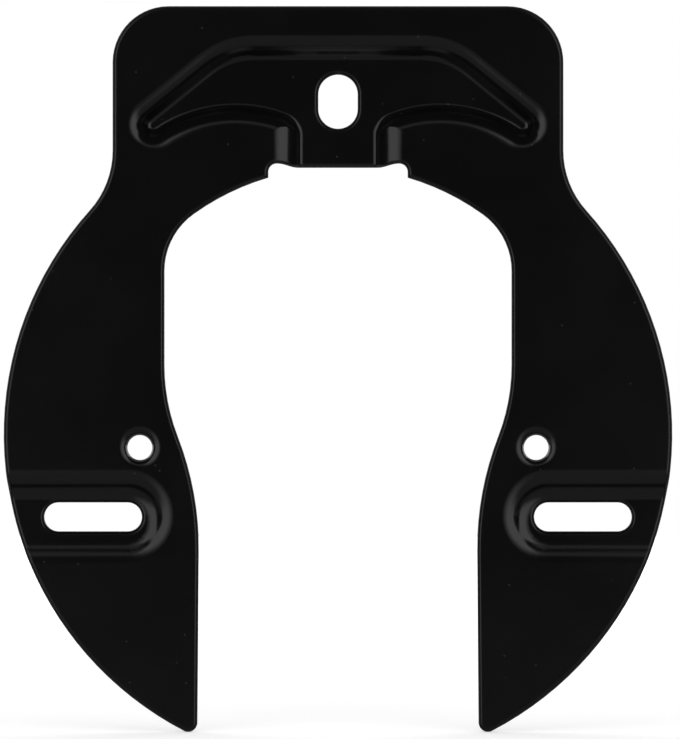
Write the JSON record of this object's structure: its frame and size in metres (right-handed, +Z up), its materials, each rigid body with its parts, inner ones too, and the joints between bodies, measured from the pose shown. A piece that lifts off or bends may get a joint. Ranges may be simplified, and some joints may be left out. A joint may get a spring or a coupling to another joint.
{
  "type": "frame lock mounting bracket",
  "caption": "Horseshoe-shaped pressed steel bracket that straddles a bicycle tyre, bolts to the brake bridge by an upright slot and carries a frame lock on level slots.",
  "frame": {"origin": "centre of the bridge slot, in the plane of the recess's back, which seats on the brake bridge", "axes": "+Z up, away from the mouth between the legs; +Y to the back, into the recess; X across the bracket, which is symmetric about X = 0"},
  "size_m": [0.1338, 0.0043, 0.1453],
  "materials": {
    "coated_steel": "satin black powder coat"
  },
  "bodies": {
    "root": {"bracket": "coated_steel"}
  },
  "joints": []
}
